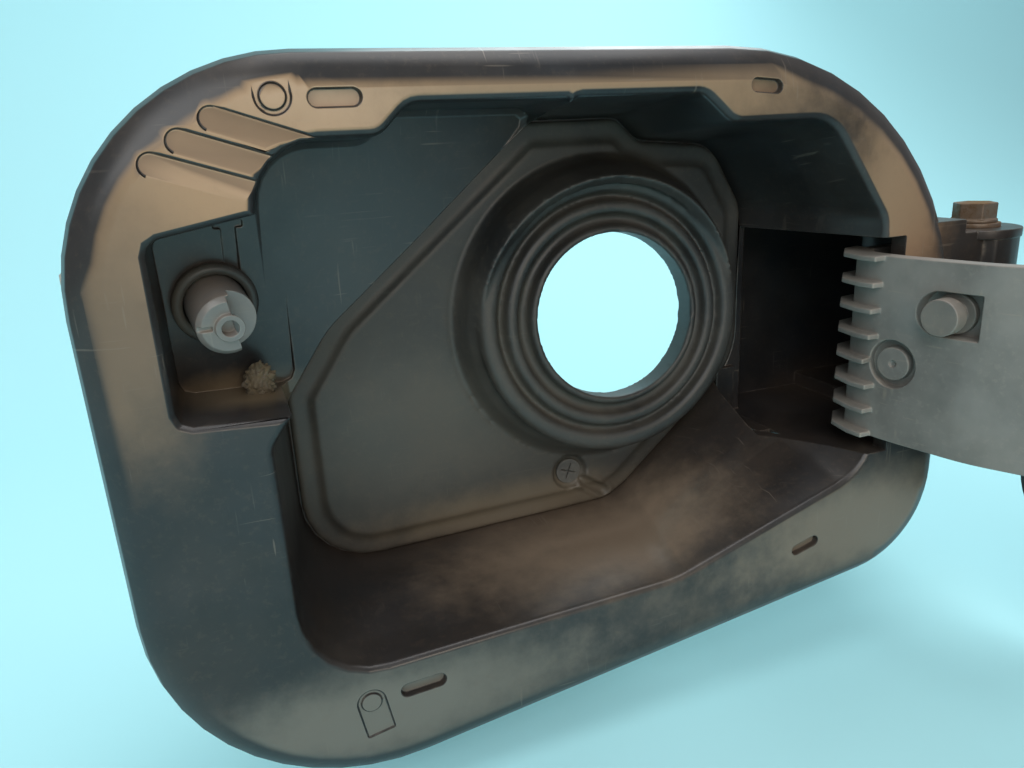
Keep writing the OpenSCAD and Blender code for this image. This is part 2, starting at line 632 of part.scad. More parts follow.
module pivot_sleeve() color("silver") at_pin() difference() {
    translate([0, 0, lug_low]) cylinder(r = sleeve_r, h = lug_top - lug_low);
    translate([0, 0, lug_low - cut]) cylinder(r = bolt_r + 0.1, h = arm_h);
}
spring_t = 0.7;
spring_h = 16;
spring_x = boss_x - pin.x - 0.1;
module detent_spring() color("silver") translate([0, 0, (arm_low + arm_top - spring_h) / 2]) at_pin()
    linear_extrude(spring_h) {
        intersection() {
            difference() {
                circle(barrel_r + seat_gap + spring_t);
                circle(barrel_r + seat_gap);
            }
            polygon([[0, 0], [20, -12], [20, 16]]);
        }
        polygon([[barrel_r * 0.84, barrel_r * 0.64], [spring_x, 12], [spring_x, 17], [spring_x - spring_t, 17],
            [spring_x - spring_t, 12.3], [barrel_r * 0.77, barrel_r * 0.73]]);
    }

// Flap, drawn shut
flap_pts = grown(rim_pts, -flap_gap);
flap_hem = 1.6;
hem_t = 1.6;
screw_spots = [[30, -2], [30, -20], [10, -11]];
screw_r = 1.8;
catch_at = [-99.5, 14];
plunger_end = lock_depth - (head_l + 1.2) * cos(lock_turn) * cos(lock_nod);
catch_h = plunger_end - 1 - flap_back;
buffer_spots = [for (t = stop_tabs) [t[0], t[1]]];
module flap() color(plastic_black) swung_open() difference() {
    loft(concat(
        [for (a = [0, 30, 60, 90]) level(grown(flap_pts, -edge_out(a, 2.4)), -flap_front + edge_in(a, 2))],
        [level(flap_pts, flap_back + flap_hem)]));
    loft([level(grown(flap_pts, -hem_t), flap_back), level(grown(flap_pts, -hem_t), 5)]);
    for (s = screw_spots) translate([s.x, -flap_front + 1.2, s.y]) rotate([-90, 0, 0])
        cylinder(r = screw_r - 0.1, h = 10, $fn = 32);
}
module flap_screws() color("dimgray") swung_open() for (s = screw_spots)
    translate([s.x, flap_back + arm_t, s.y]) rotate([90, 0, 0]) difference() {
        union() {
            translate([0, 0, -2]) cylinder(r = 3.4, h = 2, $fn = 48);
            cylinder(r = screw_r - 0.1, h = arm_t + 1.2, $fn = 48);
        }
        translate([0, 0, -2 - cut]) cylinder(r = 1.6, h = 2, $fn = 6);
    }
module flap_catch() color(plastic_black) swung_open() translate([catch_at.x, flap_back, catch_at.y]) rotate([-90, 0, 0])
    difference() {
        union() {
            translate([-9, -9, 0]) cube([18, 18, 2]);
            cylinder(r = plunger_r + 1.2, h = catch_h);
        }
        translate([0, 0, 2]) cylinder(r = plunger_r - 1, h = catch_h);
    }
module flap_buffers() color(rubber_black) swung_open() for (b = buffer_spots)
    translate([b.x, flap_back, b.y]) rotate([-90, 0, 0]) {
        cylinder(r = 3.2, h = 1, $fn = 48);
        cylinder(r = 2.6, h = 1.8, $fn = 48);
    }

// Latch, drawn along its own axis with z = 0 at the recess wall
guide_at = -plunger_travel - 2.5;
case_back = -46;
slide_z = -28;
slide_h = 3.6;
slide_w = 5;
chamber_l = 12;
slide_out = chamber_l + slide_travel + 1;
neck_h = 5.2;
neck_d = 1.8;
tongue_w = 3.6;
tongue_h = 2;
spring_wire = 0.5;
spring_turns = 5;

module lock_plunger() color(plunger_grey) at_lock() difference() {
    union() {
        translate([0, 0, 1]) cylinder(r = plunger_r, h = head_l - 2);
        translate([0, 0, head_l - 1]) cylinder(r1 = plunger_r, r2 = plunger_r - 1, h = 1);
        translate([0, 0, head_l - 1]) cylinder(r = 2.9, h = 2.2);
        translate([0, 0, slide_z - 10]) cylinder(r = shaft_r, h = 12 - slide_z);
    }
    translate([0, 0, head_l - 1.4]) cylinder(r = 1.7, h = 4);
    translate([-plunger_r, -0.5, head_l - 0.8]) cube([plunger_r - 3.2, 1, 2]);
    translate([2.2, -plunger_r, head_l - 4]) rotate([0, 0, 10]) cube([plunger_r, 2 * plunger_r, 5]);
    for (z = [slide_z, slide_z + plunger_travel]) translate([0, 0, z - neck_h / 2]) difference() {
        cylinder(r = shaft_r + cut, h = neck_h);
        translate([0, 0, -cut]) cylinder(r = shaft_r - neck_d, h = neck_h + 2 * cut);
    }
}
module plunger_gaiter() color(rubber_black) at_lock() difference() {
    union() {
        translate([0, 0, 0.1]) cylinder(r = neck_r + 1.3, h = 2);
        translate([0, 0, 2]) rotate_extrude() translate([plunger_r + 1.4, 0]) circle(1.2, $fn = 32);
    }
    translate([0, 0, -cut]) cylinder(r = plunger_r + 0.35, h = 6);
}
module latch_case() color([0.12, 0.12, 0.13]) at_lock() difference() {
    union() {
        translate([0, 0, case_back]) cylinder(r = case_r, h = seal_back - case_back);
        translate([0, 0, case_back]) cylinder(r = neck_r, h = -case_back);
        translate([-case_r - chamber_l, -9, case_back]) cube([case_r + chamber_l, 18, 24]);
    }
    translate([0, 0, guide_at]) cylinder(r = plunger_r + 0.3, h = 40);
    translate([0, 0, slide_z - plunger_travel - 10.5]) cylinder(r = shaft_r + running_gap, h = 40);
    translate([-case_r - 20, -slide_w / 2 - 0.1, slide_z - slide_h / 2 - 0.1])
        cube([case_r + 20, slide_w + 0.2, slide_h + 0.2]);
    translate([-case_r - chamber_l + 2, -6.5, case_back + 2]) cube([chamber_l - 2, 13, 11]);
}
module latch_cover() color([0.12, 0.12, 0.13]) at_lock() translate([0, 0, case_back - 2]) difference() {
    union() {
        cylinder(r = case_r, h = 2);
        translate([-case_r - chamber_l, -9, 0]) cube([case_r + chamber_l, 18, 2]);
    }
    for (y = [-6.5, 6.5]) translate([-case_r - 2, y, -cut]) cylinder(r = 1, h = 5, $fn = 24);
}
module latch_seal() color(rubber_black) at_lock() difference() {
    translate([0, 0, seal_back]) cylinder(r = case_r, h = -wall - 0.1 - seal_back);
    translate([0, 0, -20]) cylinder(r = neck_r + 0.05, h = 30);
}
function coil_point(t, r, pitch) = [r * cos(360 * t), r * sin(360 * t), pitch * t];
module coil(r, wire, turns, length, sides = 6, steps = 14) {
    count = turns * steps;
    ring = [for (i = [0:count]) for (k = [0:sides - 1])
        let (p = coil_point(i / steps, r, length / turns),
            out = [cos(360 * i / steps), sin(360 * i / steps), 0],
            a = 360 * k / sides)
        p + wire * (cos(a) * out + sin(a) * [0, 0, 1])];
    polyhedron(points = ring, faces = concat(
        [[for (k = [0:sides - 1]) k]],
        [for (i = [0:count - 1]) for (k = [0:sides - 1])
            let (j = (k + 1) % sides)
            each [[i * sides + k, (i + 1) * sides + k, (i + 1) * sides + j],
                [i * sides + k, (i + 1) * sides + j, i * sides + j]]],
        [[for (k = [sides - 1:-1:0]) count * sides + k]]));
}
module plunger_spring() color("silver") at_lock()
    translate([0, 0, guide_at + spring_wire]) coil(shaft_r + 1.2, spring_wire, spring_turns, 1 - guide_at - 2 * spring_wire);
module lock_slide() color([0.75, 0.72, 0.66]) at_lock() {
    translate([-case_r - slide_out, -slide_w / 2, slide_z - slide_h / 2])
        cube([slide_out, slide_w / 2, slide_h]);
    translate([-case_r - chamber_l + 1, -slide_w / 2, slide_z - slide_h / 2])
        cube([case_r + chamber_l - 2 - shaft_r - slide_travel, slide_w, slide_h]);
    translate([-case_r, -tongue_w / 2, slide_z - tongue_h / 2])
        cube([case_r - shaft_r + neck_d - 0.4 - slide_travel, tongue_w, tongue_h]);
    translate([-case_r - slide_out - 0.5, -slide_w / 2 - 1.8, slide_z - slide_h / 2]) cube([1.4, 4, slide_h + 1.2]);
}
module lock_motor() color("gray") at_lock()
    translate([-case_r - chamber_l + 2.2, 0, case_back + 7.5]) rotate([0, 90, 0]) intersection() {
        cylinder(r = 6.3, h = chamber_l - 2.5);
        translate([-5, -7, 0]) cube([10, 14, 12]);
    }
module latch_socket() color([0.12, 0.12, 0.13]) at_lock() translate([-case_r - 11, -9 - 10, case_back + 3]) difference() {
    cube([16, 10, 12]);
    translate([1.5, -cut, 1.5]) cube([13, 9, 9]);
}
module latch_screws() color("dimgray") at_lock() for (y = [-6.5, 6.5])
    translate([-case_r - 2, y, case_back - 3.4]) {
        cylinder(r = 1.9, h = 1.4, $fn = 32);
        cylinder(r = 0.9, h = 3.4, $fn = 32);
    }

module placed() translate([0, -filler_depth, 0]) children();
placed() housing();
placed() filler_boot();
placed() drain_valve();
placed() hinge_arm();
placed() tether_peg();
placed() hinge_bolt();
placed() hinge_washer();
placed() hinge_nut();
placed() pivot_sleeve();
placed() detent_spring();
placed() flap();
placed() flap_screws();
placed() flap_catch();
placed() flap_buffers();
placed() lock_plunger();
placed() plunger_gaiter();
placed() latch_case();
placed() latch_cover();
placed() latch_seal();
placed() plunger_spring();
placed() lock_slide();
placed() lock_motor();
placed() latch_socket();
placed() latch_screws();
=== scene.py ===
import json
import math
import bpy
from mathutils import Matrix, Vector, noise


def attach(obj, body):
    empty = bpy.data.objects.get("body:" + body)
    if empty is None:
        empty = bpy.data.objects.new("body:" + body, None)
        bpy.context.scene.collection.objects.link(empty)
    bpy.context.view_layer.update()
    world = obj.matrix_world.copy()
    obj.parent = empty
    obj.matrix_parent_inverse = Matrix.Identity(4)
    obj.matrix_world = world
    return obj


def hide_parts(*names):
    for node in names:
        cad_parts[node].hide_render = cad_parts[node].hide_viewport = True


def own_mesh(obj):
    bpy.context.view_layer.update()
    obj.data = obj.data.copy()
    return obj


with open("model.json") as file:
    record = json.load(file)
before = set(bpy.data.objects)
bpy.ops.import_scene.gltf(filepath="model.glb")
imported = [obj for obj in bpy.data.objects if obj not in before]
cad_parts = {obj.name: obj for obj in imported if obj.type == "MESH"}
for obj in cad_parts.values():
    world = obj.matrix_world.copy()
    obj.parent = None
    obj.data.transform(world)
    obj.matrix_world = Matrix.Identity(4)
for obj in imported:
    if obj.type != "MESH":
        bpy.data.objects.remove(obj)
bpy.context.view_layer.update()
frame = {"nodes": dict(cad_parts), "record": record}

# the imported solids by name, and the body that each of them moves with
nodes = frame["nodes"]
bodyOf = {name: body for body, names in frame["record"]["behaviour"]["bodies"].items() for name in names}


# small helpers used by every piece
def pickOnly(piece):
    if bpy.context.mode != "OBJECT":
        bpy.ops.object.mode_set(mode="OBJECT")
    bpy.ops.object.select_all(action="DESELECT")
    piece.hide_set(False)
    piece.select_set(True)
    bpy.context.view_layer.objects.active = piece


def inEdit(piece, *steps):
    # runs edit-mode steps on the whole mesh
    pickOnly(piece)
    bpy.ops.object.mode_set(mode="EDIT")
    bpy.ops.mesh.select_all(action="SELECT")
    for step in steps:
        step()
    bpy.ops.object.mode_set(mode="OBJECT")


def addAndApply(piece, kind, **values):
    pickOnly(piece)
    modifier = piece.modifiers.new(kind.lower(), kind)
    for key, value in values.items():
        setattr(modifier, key, value)
    bpy.ops.object.modifier_apply(modifier=modifier.name)


def copyOfNode(nodeName, pieceName):
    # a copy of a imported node's mesh, merged into one skin with its flat faces whole again
    piece = nodes[nodeName].copy()
    piece.data = nodes[nodeName].data.copy()
    piece.name = pieceName
    piece.data.name = pieceName
    piece.parent = None
    for key in list(piece.keys()):
        del piece[key]
    bpy.context.scene.collection.objects.link(piece)
    inEdit(piece,
           lambda: bpy.ops.mesh.customdata_custom_splitnormals_clear(),
           lambda: bpy.ops.mesh.remove_doubles(threshold=0.000006),
           lambda: bpy.ops.mesh.dissolve_limited(angle_limit=math.radians(0.8)))
    return piece


def softenEdges(piece, width, sides=2, sharpFrom=30):
    addAndApply(piece, "BEVEL", width=width, segments=sides, limit_method="ANGLE",
                angle_limit=math.radians(sharpFrom), use_clamp_overlap=False,
                miter_outer="MITER_ARC", loop_slide=False)
    finishSmooth(piece)


def finishSmooth(piece, angle=38):
    pickOnly(piece)
    bpy.ops.object.shade_smooth_by_angle(angle=math.radians(angle))
    addAndApply(piece, "WEIGHTED_NORMAL", keep_sharp=True, weight=60)


def wearing(piece, material):
    piece.data.materials.clear()
    piece.data.materials.append(material)


def settle(piece, nodeName, material):
    # the piece stands for its node and moves as the node does
    wearing(piece, material)
    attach(piece, bodyOf[nodeName])
    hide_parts(nodeName)


# camera, from the lines of the photograph
cameraValues = dict(place=(-0.1003, -0.1876, 0.0463), turn=(72.9766, 2.8660, -20.8756), lens=27.21,
                    sensor=36, nearest=0.005)
bpy.ops.object.camera_add(location=cameraValues["place"],
                          rotation=[math.radians(angle) for angle in cameraValues["turn"]])
camera = bpy.context.object
camera.data.lens = cameraValues["lens"]
camera.data.sensor_width = cameraValues["sensor"]
camera.data.clip_start = cameraValues["nearest"]
bpy.context.scene.camera = camera
print("camera set")

# floor that curves up into a backdrop
stageValues = dict(floorZ=-0.1068, halfWidth=1.6, front=-1.3, back=0.75, height=1.5, curve=0.45,
                   curveSteps=24, colour=(0.46, 0.84, 0.90), roughness=0.9)
bpy.ops.object.select_all(action="DESELECT")
bpy.ops.mesh.primitive_plane_add(size=1, location=(0, 0, 0))
floor = bpy.context.object
floor.name = "studioFloor"
for vertex in floor.data.vertices:
    vertex.co = (2 * stageValues["halfWidth"] * vertex.co.x,
                 stageValues["front"] if vertex.co.y < 0 else stageValues["back"], stageValues["floorZ"])
bpy.ops.object.mode_set(mode="EDIT")
bpy.ops.mesh.select_mode(type="EDGE")
bpy.ops.mesh.select_all(action="DESELECT")
bpy.ops.object.mode_set(mode="OBJECT")
for edge in floor.data.edges:
    edge.select = all(floor.data.vertices[v].co.y > 0 for v in edge.vertices)
bpy.ops.object.mode_set(mode="EDIT")
bpy.ops.mesh.extrude_edges_move(TRANSFORM_OT_translate={"value": (0, 0, stageValues["height"])})
bpy.ops.object.mode_set(mode="OBJECT")
addAndApply(floor, "BEVEL", width=stageValues["curve"], segments=stageValues["curveSteps"],
            limit_method="ANGLE", angle_limit=math.radians(40))
bpy.ops.object.shade_smooth()


# shader groups shared by the finishes
def newGroup(name, inputs, outputs):
    tree = bpy.data.node_groups.new(name, "ShaderNodeTree")
    for label, kind, value in inputs:
        socket = tree.interface.new_socket(label, in_out="INPUT", socket_type=kind)
        socket.default_value = value
    for label, kind in outputs:
        tree.interface.new_socket(label, in_out="OUTPUT", socket_type=kind)
    return tree, tree.nodes.new("NodeGroupInput"), tree.nodes.new("NodeGroupOutput")


def addNode(tree, kind, links=None, **values):
    node = tree.nodes.new(kind)
    for key, value in values.items():
        setattr(node, key, value)
    for socket, source in (links or {}).items():
        if isinstance(source, bpy.types.NodeSocket):
            tree.links.new(source, node.inputs[socket])
        else:
            node.inputs[socket].default_value = source
    return node


def maths(tree, operation, first, second=0.0, third=None, clamp=False):
    links = {0: first, 1: second}
    if third is not None:
        links[2] = third
    return addNode(tree, "ShaderNodeMath", links, operation=operation, use_clamp=clamp).outputs[0]


def between(tree, value, low, high, toLow=0.0, toHigh=1.0):
    node = addNode(tree, "ShaderNodeMapRange", {"Value": value, "From Min": low, "From Max": high,
                                                "To Min": toLow, "To Max": toHigh},
                   interpolation_type="SMOOTHSTEP")
    return node.outputs["Result"]


def clouds(tree, place, scale, detail=4.0, roughness=0.55, distortion=0.0):
    links = {"Vector": place, "Scale": scale, "Detail": detail, "Roughness": roughness,
             "Distortion": distortion}
    return addNode(tree, "ShaderNodeTexNoise", links).outputs["Fac"]


def buildGrain():
    # moulded grain with a slow swell under it
    tree, source, result = newGroup("mouldGrain", [("Place", "NodeSocketVector", (0, 0, 0)),
                                                   ("Grain Scale", "NodeSocketFloat", 2200.0),
                                                   ("Swell", "NodeSocketFloat", 0.5)],
                                    [("Height", "NodeSocketFloat")])
    fine = clouds(tree, source.outputs["Place"], source.outputs["Grain Scale"], 2.0)
    slow = clouds(tree, source.outputs["Place"], 70.0, 2.0)
    swell = maths(tree, "MULTIPLY", slow, source.outputs["Swell"])
    tree.links.new(maths(tree, "ADD", maths(tree, "MULTIPLY", fine, 0.5), swell), result.inputs["Height"])
    return tree


def buildDust():
    # film of road dust: clouds, heavier where the surface looks up and in corners
    tree, source, result = newGroup("roadDust", [("Place", "NodeSocketVector", (0, 0, 0)),
                                                 ("Amount", "NodeSocketFloat", 0.4),
                                                 ("Cloud Scale", "NodeSocketFloat", 26.0),
                                                 ("Upward", "NodeSocketFloat", 0.3),
                                                 ("Corners", "NodeSocketFloat", 0.4)],
                                    [("Mask", "NodeSocketFloat")])
    place = source.outputs["Place"]
    broad = between(tree, clouds(tree, place, source.outputs["Cloud Scale"], 6.0, 0.62, 0.4), 0.3, 0.75)
    speck = between(tree, clouds(tree, place, 620.0, 3.0, 0.7), 0.52, 0.7)
    normal = addNode(tree, "ShaderNodeNewGeometry").outputs["Normal"]
    facing = addNode(tree, "ShaderNodeSeparateXYZ", {0: normal})
    up = maths(tree, "MULTIPLY", maths(tree, "MAXIMUM", facing.outputs["Z"], 0.0), source.outputs["Upward"])
    shade = addNode(tree, "ShaderNodeAmbientOcclusion", {"Distance": 0.012}, samples=6).outputs["AO"]
    corner = maths(tree, "MULTIPLY", between(tree, shade, 0.85, 0.35), source.outputs["Corners"])
    film = maths(tree, "MULTIPLY", broad, source.outputs["Amount"])
    film = maths(tree, "ADD", film, maths(tree, "MULTIPLY", up, maths(tree, "ADD", broad, 0.35)))
    film = maths(tree, "ADD", film, maths(tree, "MULTIPLY", corner, maths(tree, "ADD", broad, 0.25)))
    specks = maths(tree, "MULTIPLY", maths(tree, "MULTIPLY", speck, 0.55), source.outputs["Amount"])
    film = maths(tree, "ADD", film, specks)
    tree.links.new(maths(tree, "MINIMUM", film, 1.0), result.inputs["Mask"])
    return tree


def buildRub():
    # bright rubbing along edges, broken up so that it comes and goes
    tree, source, result = newGroup("edgeRub", [("Place", "NodeSocketVector", (0, 0, 0)),
                                                ("Reach", "NodeSocketFloat", 0.0008),
                                                ("Amount", "NodeSocketFloat", 0.6)],
                                    [("Mask", "NodeSocketFloat")])
    rounded = addNode(tree, "ShaderNodeBevel", {"Radius": source.outputs["Reach"]}, samples=4)
    plain = addNode(tree, "ShaderNodeNewGeometry")
    same = addNode(tree, "ShaderNodeVectorMath", {0: rounded.outputs["Normal"], 1: plain.outputs["Normal"]},
                   operation="DOT_PRODUCT").outputs["Value"]
    edge = between(tree, maths(tree, "SUBTRACT", 1.0, same), 0.015, 0.14)
    patch = between(tree, clouds(tree, source.outputs["Place"], 180.0, 5.0, 0.7), 0.42, 0.66)
    mask = maths(tree, "MULTIPLY", maths(tree, "MULTIPLY", edge, patch), source.outputs["Amount"])
    tree.links.new(maths(tree, "MINIMUM", mask, 1.0), result.inputs["Mask"])
    return tree


def buildScratches():
    # fine scratches in two directions, here and there
    tree, source, result = newGroup("fineScratches", [("Place", "NodeSocketVector", (0, 0, 0)),
                                                      ("Amount", "NodeSocketFloat", 0.4),
                                                      ("Density", "NodeSocketFloat", 1.0)],
                                    [("Mask", "NodeSocketFloat")])
    masks = []
    for turn, stretch in (((0.2, 0.5, 0.9), (1400, 60, 90)), ((-0.6, 0.1, -0.5), (70, 80, 1600))):
        along = addNode(tree, "ShaderNodeMapping", {"Vector": source.outputs["Place"], "Rotation": turn,
                                                    "Scale": stretch}).outputs[0]
        lines = clouds(tree, along, source.outputs["Density"], 1.0, 0.4)
        masks.append(between(tree, lines, 0.685, 0.74))
    patch = between(tree, clouds(tree, source.outputs["Place"], 38.0, 3.0), 0.48, 0.68)
    both = maths(tree, "MAXIMUM", masks[0], masks[1])
    tree.links.new(maths(tree, "MULTIPLY", maths(tree, "MULTIPLY", both, patch), source.outputs["Amount"]),
                   result.inputs["Mask"])
    return tree


def buildPatch():
    # a patch with a soft, cloudy border round one place, if need be only where the face looks out of the car
    tree, source, result = newGroup("softPatch", [("Place", "NodeSocketVector", (0, 0, 0)),
                                                  ("Centre", "NodeSocketVector", (0, 0, 0)),
                                                  ("Reach", "NodeSocketVector", (1, 1, 1)),
                                                  ("Outward Only", "NodeSocketFloat", 0.0)],
                                    [("Mask", "NodeSocketFloat")])
    away = addNode(tree, "ShaderNodeVectorMath", {0: source.outputs["Place"], 1: source.outputs["Centre"]},
                   operation="SUBTRACT").outputs["Vector"]
    scaled = addNode(tree, "ShaderNodeVectorMath", {0: away, 1: source.outputs["Reach"]},
                     operation="DIVIDE").outputs["Vector"]
    reach = addNode(tree, "ShaderNodeVectorMath", {0: scaled}, operation="LENGTH").outputs["Value"]
    cloud = clouds(tree, source.outputs["Place"], 120.0, 5.0, 0.65)
    soft = between(tree, maths(tree, "ADD", reach, maths(tree, "MULTIPLY", cloud, 0.5)), 1.25, 0.5)
    # the outward-only limit keeps painted sheen on the rim's flat face and off its rolled edge
    normal = addNode(tree, "ShaderNodeNewGeometry").outputs["Normal"]
    facing = addNode(tree, "ShaderNodeSeparateXYZ", {0: normal})
    outward = between(tree, maths(tree, "MULTIPLY", facing.outputs["Y"], -1.0), 0.955, 0.997)
    blocked = maths(tree, "MULTIPLY", maths(tree, "SUBTRACT", 1.0, outward), source.outputs["Outward Only"])
    mask = maths(tree, "MULTIPLY", soft, maths(tree, "SUBTRACT", 1.0, blocked))
    tree.links.new(mask, result.inputs["Mask"])
    return tree


grainGroup = buildGrain()
dustGroup = buildDust()
rubGroup = buildRub()
scratchGroup = buildScratches()
patchGroup = buildPatch()
print("shader groups built")


def mixColour(tree, mask, first, second):
    node = addNode(tree, "ShaderNodeMix", data_type="RGBA")
    for socket, source in ((node.inputs[0], mask), (node.inputs[6], first), (node.inputs[7], second)):
        if isinstance(source, bpy.types.NodeSocket):
            tree.links.new(source, socket)
        else:
            socket.default_value = (*source, 1) if isinstance(source, tuple) else source
    return node.outputs[2]


def grouped(tree, group, links):
    node = tree.nodes.new("ShaderNodeGroup")
    node.node_tree = group
    for socket, source in links.items():
        if isinstance(source, bpy.types.NodeSocket):
            tree.links.new(source, node.inputs[socket])
        else:
            node.inputs[socket].default_value = source
    return node


def wornFinish(name, base, dust, dustAmount=0.3, cloudScale=26.0, upward=0.2, corners=0.3,
               rub=(0.2, 0.19, 0.18), rubAmount=0.5, rubReach=0.0008, scratch=0.3,
               roughness=0.4, dustyRoughness=0.7, grainScale=2200.0, swell=0.5, depth=0.00003,
               metallic=0.0, tone=0.25, patches=(), **extra):
    # one finish: colour that drifts a little, dirt and painted sheen by place, dust, scratches and rubbed
    # edges over it
    material = bpy.data.materials.new(name)
    material.use_nodes = True
    tree = material.node_tree
    shader = tree.nodes["Principled BSDF"]
    place = addNode(tree, "ShaderNodeTexCoord").outputs["Object"]
    drift = between(tree, clouds(tree, place, 45.0, 4.0), 0.35, 0.7)
    darker = tuple(c * (1 - tone) for c in base)
    lighter = tuple(c * (1 + tone) for c in base)
    colour = mixColour(tree, drift, darker, lighter)
    dustNode = grouped(tree, dustGroup, {"Place": place, "Amount": dustAmount, "Cloud Scale": cloudScale,
                                         "Upward": upward, "Corners": corners})
    scratchNode = grouped(tree, scratchGroup, {"Place": place, "Amount": scratch})
    rubNode = grouped(tree, rubGroup, {"Place": place, "Reach": rubReach, "Amount": rubAmount})
    # patches by place lay dirt and, on the rim's flat face, painted sheen
    for centre, reach, outwardOnly, patchColour, amount in patches:
        patchNode = grouped(tree, patchGroup, {"Place": place, "Centre": centre, "Reach": reach,
                                               "Outward Only": outwardOnly})
        patchMask = maths(tree, "MULTIPLY", patchNode.outputs["Mask"], amount)
        colour = mixColour(tree, patchMask, colour, patchColour)
    colour = mixColour(tree, dustNode.outputs["Mask"], colour, dust)
    colour = mixColour(tree, scratchNode.outputs["Mask"], colour, rub)
    colour = mixColour(tree, rubNode.outputs["Mask"], colour, rub)
    tree.links.new(colour, shader.inputs["Base Color"])
    rough = between(tree, dustNode.outputs["Mask"], 0.0, 0.7, roughness, dustyRoughness)
    rough = maths(tree, "ADD", rough, maths(tree, "MULTIPLY", drift, 0.08))
    tree.links.new(rough, shader.inputs["Roughness"])
    shader.inputs["Metallic"].default_value = metallic
    for socket, value in extra.items():
        shader.inputs[socket.replace("_", " ")].default_value = value
    grainNode = grouped(tree, grainGroup, {"Place": place, "Grain Scale": grainScale, "Swell": swell})
    height = maths(tree, "SUBTRACT", grainNode.outputs["Height"],
                   maths(tree, "MULTIPLY", scratchNode.outputs["Mask"], 0.6))
    bump = addNode(tree, "ShaderNodeBump", {"Height": height, "Strength": 0.6, "Distance": depth})
    tree.links.new(bump.outputs["Normal"], shader.inputs["Normal"])
    return material


# dirt, and painted warm sheen on the rim's outward face, by place: centre, reach, outward only, colour,
# amount
housingDirtAndSheen = [
    ((-0.095, -0.033, 0.050), (0.058, 0.02, 0.040), 1.0, (0.40, 0.235, 0.12), 0.80),  # top left of the rim: dust with a painted warm sheen on the flat face
    ((-0.020, -0.033, 0.060), (0.095, 0.02, 0.026), 1.0, (0.34, 0.225, 0.135), 0.8),  # along the top: dust with a painted warm sheen on the flat face
    ((-0.122, -0.033, 0.022), (0.022, 0.02, 0.046), 1.0, (0.20, 0.13, 0.08), 0.75),  # beside the lock recess: dust with painted sheen on the flat face
    ((0.064, -0.033, 0.022), (0.024, 0.02, 0.055), 1.0, (0.34, 0.225, 0.14), 0.85),  # above the hinge box: dust with a painted warm sheen on the flat face
    ((-0.100, -0.012, -0.004), (0.022, 0.014, 0.008), 0.0, (0.20, 0.15, 0.09), 0.7),  # recess ledge
    ((-0.080, -0.030, -0.080), (0.075, 0.02, 0.020), 1.0, (0.20, 0.185, 0.155), 0.7),  # low left of the rim: dust with painted sheen on the flat face
    ((0.004, -0.006, -0.070), (0.085, 0.035, 0.030), 0.0, (0.25, 0.19, 0.135), 0.85),  # low wall
    ((-0.064, -0.004, 0.028), (0.046, 0.03, 0.044), 0.0, (0.036, 0.042, 0.046), 0.85),  # greyed shelf
    ((0.060, -0.033, -0.062), (0.060, 0.02, 0.022), 1.0, (0.24, 0.19, 0.14), 0.7),  # low right of the rim: dust with painted sheen on the flat face
]
bootDirt = [
    ((-0.060, 0.012, -0.030), (0.050, 0.03, 0.035), 0.0, (0.075, 0.07, 0.06), 0.8),  # flat of the boot
    ((-0.030, 0.014, -0.058), (0.060, 0.02, 0.012), 0.0, (0.15, 0.115, 0.075), 0.7),  # low edge of the boot
]
